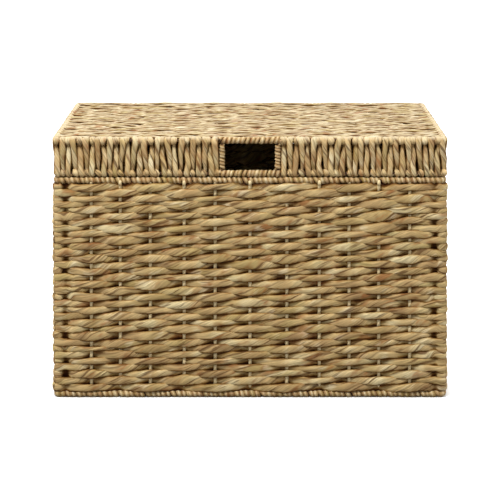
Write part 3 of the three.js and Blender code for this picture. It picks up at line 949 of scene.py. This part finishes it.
def buildApron(name, start, end, reach, turn, node, seed):
    # the period repeated leftwards from end to start, each point scattered a little and each upright
    # leaning a little, as a smooth curve; then turned to its side of the box
    rng = np.random.default_rng(seed)
    periods = max(1, round((end - start) / (2 * apron["pitch"])))
    pitch = (end - start) / (2 * periods)
    count = periods * len(eight) + 1
    steps = np.tile(eight, (periods + 1, 1))[:count]
    period = np.arange(count) // len(eight)
    bottom, top = box["lidRodZ"], box["lidWeaveZ"]
    radius = np.where(steps[:, 2] > 0.5, apron["topRadius"], apron["bottomRadius"])
    scatter = rng.normal(0, apron["scatter"], (2, count))
    side = np.arange(count) // (len(eight) // 2)
    lean = rng.normal(0, apron["lean"], side[-1] + 1)[side] * (steps[:, 2] - 0.5)
    x = end - pitch * 0.5 + (steps[:, 0] - 2 * period) * pitch + scatter[0] + lean
    out = steps[:, 1] * radius + scatter[1] * apron["scatterOut"]
    z = bottom + (top - bottom) * steps[:, 2] + steps[:, 3] * radius
    wide = steps[:, 4] * apron["wide"] * rng.normal(1, apron["wideUneven"], count)
    path = joined(x, out, z, wide)
    path = through(np.concatenate([path[:1], path, path[-1:]]), apron["perStep"])
    path[:, 0] = np.clip(path[:, 0], start + apron["endGap"], end - apron["endGap"])
    line, wide = path[:, :3], path[:, 3]
    length = lengthAlong(line[None])
    twist = apron["twistSway"] * np.sin(np.arange(len(line)) * apron["swayRate"] + rng.uniform(0, 6))
    twist = twist + 2 * math.pi * length / apron["twistLength"]
    points, _, p = section(line[None], *besideRod(line), apron["thick"], wide, wide, twist, apron)
    across, out, z = points[..., 0], points[..., 1], points[..., 2]
    # painted shade in the crevices between the strands, none on the loops over the rods
    facing = (out - line[None, :, None, 1]) / apron["thick"]
    fromRod = np.minimum(z - bottom, top - z)
    atRod = 1 - eased((fromRod - apron["rodReach"]) / apron["rodEase"])
    paintedShading = paintedCreviceShade(apron, out, facing, apron["hollowStart"] - apron["hollowSpan"] * atRod, p,
                        apron["edge"], apron["edgeShare"] * eased(fromRod / apron["rodReach"]))
    # painted highlight: the loops' tops over the top rod get the pale tone, for the top light on them
    onTop = eased((z - top - apron["paintedHighlightFrom"]) / apron["paintedHighlightEase"])
    paintedShading = paintedShading * (1 - onTop) - apron["paintedHighlightShare"] * onTop
    cosine, sine = math.cos(turn), math.sin(turn)
    forward = -(reach + out)
    placed = joined(across * cosine - forward * sine, across * sine + forward * cosine, z)
    length = length + seed * apron["layerStep"]
    strandPiece(name, placed, length, sideStem, "lid", [node], paintedShading)


def buildAprons():
    # each side runs from its left end to its right one, as seen from outside; the last number is its seed
    edge = box["apronEndX"]
    endX, endY = railX + apron["beyondX"], railY + apron["beyondY"]
    buildApron("lidSide_frontLeft", -endX, -edge, railY, 0, "lid_side_front_left", 80)
    buildApron("lidSide_frontRight", edge, endX, railY, 0, "lid_side_front_right", 81)
    buildApron("lidSide_right", -endY, endY, railX, math.pi / 2, "lid_side_right", 82)
    buildApron("lidSide_back", -endX, endX, railY, math.pi, "lid_side_back", 83)
    buildApron("lidSide_left", -endY, endY, railX, -math.pi / 2, "lid_side_left", 84)


buildAprons()
print("lid sides laid")


# Lid top and floor

lidTop = {
    "seed": 91,
    "rows": 40,
    "frontY": -0.1903,
    "backY": 0.1955,
    "endX": 0.2958,
    "endSpan": 0.008,  # over which the rows get thinner and flatter towards their ends
    "endFull": 0.45,
    "endLift": 0.0040,  # how much higher the ends and the last three rows rise, over the side strands
    "lastRows": 3,
    "lastLift": 0.8,
    "lastFlat": 0.7,  # share of its sway that the last row loses
    "perBay": 10,
    "columns": 10,
    "plies": 2,
    "crease": 0.26,
    "square": 0.85,
    "sway": 0.0020,
    "swayInside": 0.0020,
    "crown": 0.0,
    "dive": 0.85,
    "thick": 0.0030,
    "highFront": 0.0064,
    "highMiddle": 0.0056,
    "highInside": 0.0092,
    "middleInside": 0.0056,
    "highBehind": 0.0030,
    "twistLength": 0.07,
    "wander": 0.0011,
    "border": 0.0,
    "shift": 0.2,
    # painted shade in the crevices of the lid top, as on the walls
    "hollowStart": 0.0,
    "hollowSpan": 0.0035,
    "edge": 0.5,
    "edgeMiddle": 0.2,
    "edgeBehind": 0.1,
    "edgeShare": 0.6,
    "above": 1.0,
    "layer": 1.9,  # metres in the finish's noise, times the seed
}
floorWeave = dict(lidTop, seed=92, rows=38, frontY=-0.1833, backY=0.1833, endX=0.2868, endLift=0, perBay=6,
                  columns=8, sway=0.0032, swayInside=0.0032, thick=0.0026, shift=0.05)


def buildSheet(name, settings, z, finish, body, node):
    # rows along X, each over and under the stakes that cross it: middle = z + sway + lift at y + rise;
    # towards an end they get thinner by endFull + (1 - endFull) * root of the way to it, and lie flat
    rng = np.random.default_rng(settings["seed"])
    rows, perBay, endX = settings["rows"], settings["perBay"], settings["endX"]
    row = np.arange(rows)[:, None]
    crossing = np.concatenate([[-postX], stakeX, [postX]])
    number = np.arange(len(crossing))
    index = np.arange((len(crossing) - 1) * perBay + 1) / perBay
    x = np.interp(index, number, crossing)
    inside = np.abs(x) < endX
    ends = np.interp([-endX, endX], crossing, number)
    index = np.concatenate([ends[:1], index[inside], ends[1:]])
    x = np.concatenate([[-endX], x[inside], [endX]])
    wave = weave(settings, np.where((row + number) % 2 == 0, 1.0, -1.0), index, rng)
    pitch = (settings["backY"] - settings["frontY"]) / rows
    toEnd = np.clip((endX - np.abs(x)) / settings["endSpan"], 0, 1)
    full = settings["endFull"] + (1 - settings["endFull"]) * np.sqrt(toEnd)
    last = np.clip((row - rows + settings["lastRows"] + 1) / settings["lastRows"], 0, 1)
    lift = settings["endLift"] * np.maximum(1 - toEnd, settings["lastLift"] * last)
    centre = joined(x, settings["frontY"] + (row + 0.5) * pitch + wave["rise"],
                    z + wave["sway"] * toEnd * (1 - settings["lastFlat"] * last) + lift)
    twist = 2 * math.pi * x / settings["twistLength"] * wave["turns"]
    points, paintedShading = woven(settings, wave, centre, upright, np.array([0.0, 1.0, 0.0]), twist, full)
    along = x + uneven["layerStep"] * row + settings["seed"] * settings["layer"]
    strandPiece(name, points, along, finish, body, [node], paintedShading)


buildSheet("lidTopStrands", lidTop, box["lidWeaveZ"], lidStem, "lid", "lid_top_weave")
buildSheet("floorStrands", floorWeave, stakes["floorZ"], wallStem, "root", "floor_weave")
print("lid top and floor woven")


# Frayed ends that stand out of the lid's top

frayedEnds = {
    "seed": 95,
    "count": 54,
    "atBack": 0.45,  # share of them near the back edge
    "x": (-0.28, 0.28),
    "y": (-0.18, 0.18),
    "backY": (0.183, 0.192),
    "above": 0.0044,  # how far over the top's stakes they begin
    "turn": 0.5,  # spread of their direction about the rows'
    "length": 0.015,
    "lengths": (0.5, 1.5),  # least and most of that, as a share
    "rise": (0.05, 0.3),  # least and most, in lengths
    "bow": 0.12,  # spread, in lengths
    "taper": 0.8,
    "wide": 0.0010,
    "thick": 0.0004,
    "rings": 6,
    "columns": 4,
}


def buildFrayedEnds():
    # each is a curve start + direction * length * t + (up * rise + across * bow) * t ^ 2, tapering as
    # 1 - taper * t
    rng = np.random.default_rng(frayedEnds["seed"])
    count = frayedEnds["count"]
    back = rng.random(count) < frayedEnds["atBack"]
    x = rng.uniform(*frayedEnds["x"], count)
    y = np.where(back, rng.uniform(*frayedEnds["backY"], count), rng.uniform(*frayedEnds["y"], count))
    start = joined(x, y, box["lidWeaveZ"] + frayedEnds["above"])[:, None]
    turn = rng.normal(0, frayedEnds["turn"], count) + np.where(rng.random(count) < 0.5, 0, math.pi)
    course = level(turn)[:, None]
    across = np.cross(upright, course)
    length = frayedEnds["length"] * rng.uniform(*frayedEnds["lengths"], (count, 1, 1))
    rise = rng.uniform(*frayedEnds["rise"], (count, 1, 1)) * length
    bow = rng.normal(0, frayedEnds["bow"], (count, 1, 1)) * length
    t = np.linspace(0, 1, frayedEnds["rings"])[None, :, None]
    line = start + course * length * t + upright * rise * t ** 2 + across * bow * t ** 2
    angle = 2 * math.pi * np.arange(frayedEnds["columns"]) / frayedEnds["columns"]
    ring = (np.cos(angle)[:, None] * frayedEnds["wide"] * across[:, :, None, :]
            + np.sin(angle)[:, None] * frayedEnds["thick"] * upright)
    points = line[:, :, None, :] + ring * (1 - frayedEnds["taper"] * t)[..., None]
    strandPiece("frayedEnds", points, lengthAlong(line) + np.arange(count)[:, None], lidStem,
                "lid", [], np.zeros(points.shape[:3]))


buildFrayedEnds()
print("frayed ends set")


# Camera, floor and light

studio = {
    "tilt": 12.0,  # degrees down
    "distance": 3.07,
    "lens": 135.6,
    "aim": (0.0, 0.0, 0.190),
    "white": (1, 1, 1, 1),
    "floorColour": 0.25,
    "floorReach": 8,
    "floorLift": 0.93,  # white added to what the camera sees of the floor, outside the box's contact shadow
    "shadowReach": 0.03,
    "brightReach": (0.3, 1.5),  # from the box, over which the rest of the white is added
    "foot": (0.3, 0.2),  # half the box's width and depth
    "worldColour": (1, 0.98, 0.95, 1),
    "worldLight": 0.48,
    "lamps": [  # name, place, what it is turned to, size and power
        ("topSoft", (-0.5, -0.3, 2.6), (0, 0, 0.3), 1.0, 14),
        ("frontSoft", (-0.75, -1.5, 2.7), (0, -0.2, 0.2), 0.7, 70),
        ("rightSoft", (2.6, -0.2, 1.7), (0.3, 0, 0.2), 1.0, 30),
        ("backSoft", (0.3, 2.6, 1.9), (0, 0.2, 0.2), 1.0, 34),
        ("leftSoft", (-2.6, 0.1, 1.6), (-0.3, 0, 0.2), 1.0, 14),
    ],
}


def buildCamera():
    # place = aim + distance * (0, -cos(tilt), sin(tilt)), looking at aim
    camera = added("camera", bpy.data.cameras.new("camera"))
    camera.data.lens = studio["lens"]
    tilt = math.radians(studio["tilt"])
    aim = np.array(studio["aim"])
    camera.location = aim + studio["distance"] * np.array([0, -math.cos(tilt), math.sin(tilt)])
    camera.rotation_euler = (math.pi / 2 - tilt, 0, 0)
    bpy.context.scene.camera = camera


def areaLight(name, place, target, size, power):
    # a square lamp at place, turned so that its -Z points to target
    lamp = added(name, bpy.data.lights.new(name, "AREA"))
    lamp.data.size = size
    lamp.data.energy = power
    lamp.location = place
    lamp.rotation_euler = (Vector(target) - Vector(place)).to_track_quat("-Z", "Y").to_euler()


def isSeen(n):
    # 1 for what the camera sees itself, in a gloss or through glass, and 0 for what lights the box
    rays = n.add("ShaderNodeLightPath").outputs
    return n.math("MAXIMUM", rays["Is Camera Ray"],
                  n.math("MAXIMUM", rays["Is Glossy Ray"], rays["Is Transmission Ray"]))


def buildFloor():
    # a wide pale sheet on the ground, seen white: glow = floorLift from shadowReach on round the box's foot,
    # and 1 beyond brightReach, so that the contact shadow is kept
    n = Nodes(bpy.data.materials.new("paleFloor"))
    seen = isSeen(n)
    pale = (studio["floorColour"],) * 3 + (1,)
    sheet = n.add("ShaderNodeBsdfDiffuse", None, Color=n.mix(seen, pale, studio["white"]))
    parts = n.add("ShaderNodeSeparateXYZ", None, i0=n.add("ShaderNodeTexCoord").outputs["Object"])
    beyond = [n.math("MAXIMUM", n.math("SUBTRACT", n.math("ABSOLUTE", parts.outputs[k]), half), 0.0)
              for k, half in enumerate(studio["foot"])]
    away = n.math("MAXIMUM", *beyond)
    near = n.fit(away, 0.0, studio["shadowReach"], 0.0, studio["floorLift"])
    far = n.fit(away, *studio["brightReach"], 0.0, 1.0 - studio["floorLift"])
    glow = n.add("ShaderNodeEmission", None, Color=studio["white"],
                 Strength=n.math("MULTIPLY", seen, n.math("ADD", near, far)))
    both = n.add("ShaderNodeAddShader", None, i0=sheet.outputs[0], i1=glow.outputs[0])
    n.add("ShaderNodeOutputMaterial", None, Surface=both.outputs[0])
    reach = studio["floorReach"]
    mesh = bpy.data.meshes.new("floor")
    corners = [(-reach, -reach, 0), (reach, -reach, 0), (reach, reach, 0), (-reach, reach, 0)]
    mesh.from_pydata(corners, [], [(0, 1, 2, 3)])
    mesh.materials.append(n.owner)
    added("floor", mesh)


def buildWorld():
    # a plain soft light, seen white
    n = Nodes(bpy.data.worlds.new("studio"))
    light = n.add("ShaderNodeBackground", None, i0=studio["worldColour"], i1=studio["worldLight"])
    white = n.add("ShaderNodeBackground", None, i0=studio["white"], i1=1.0)
    mixed = n.add("ShaderNodeMixShader", None, i0=isSeen(n), i1=light.outputs[0], i2=white.outputs[0])
    n.add("ShaderNodeOutputWorld", None, Surface=mixed.outputs[0])
    bpy.context.scene.world = n.owner


buildCamera()
buildFloor()
buildWorld()
for lamp in studio["lamps"]:
    areaLight(*lamp)
bpy.context.scene.view_settings.view_transform = "Standard"
print("camera and light set")
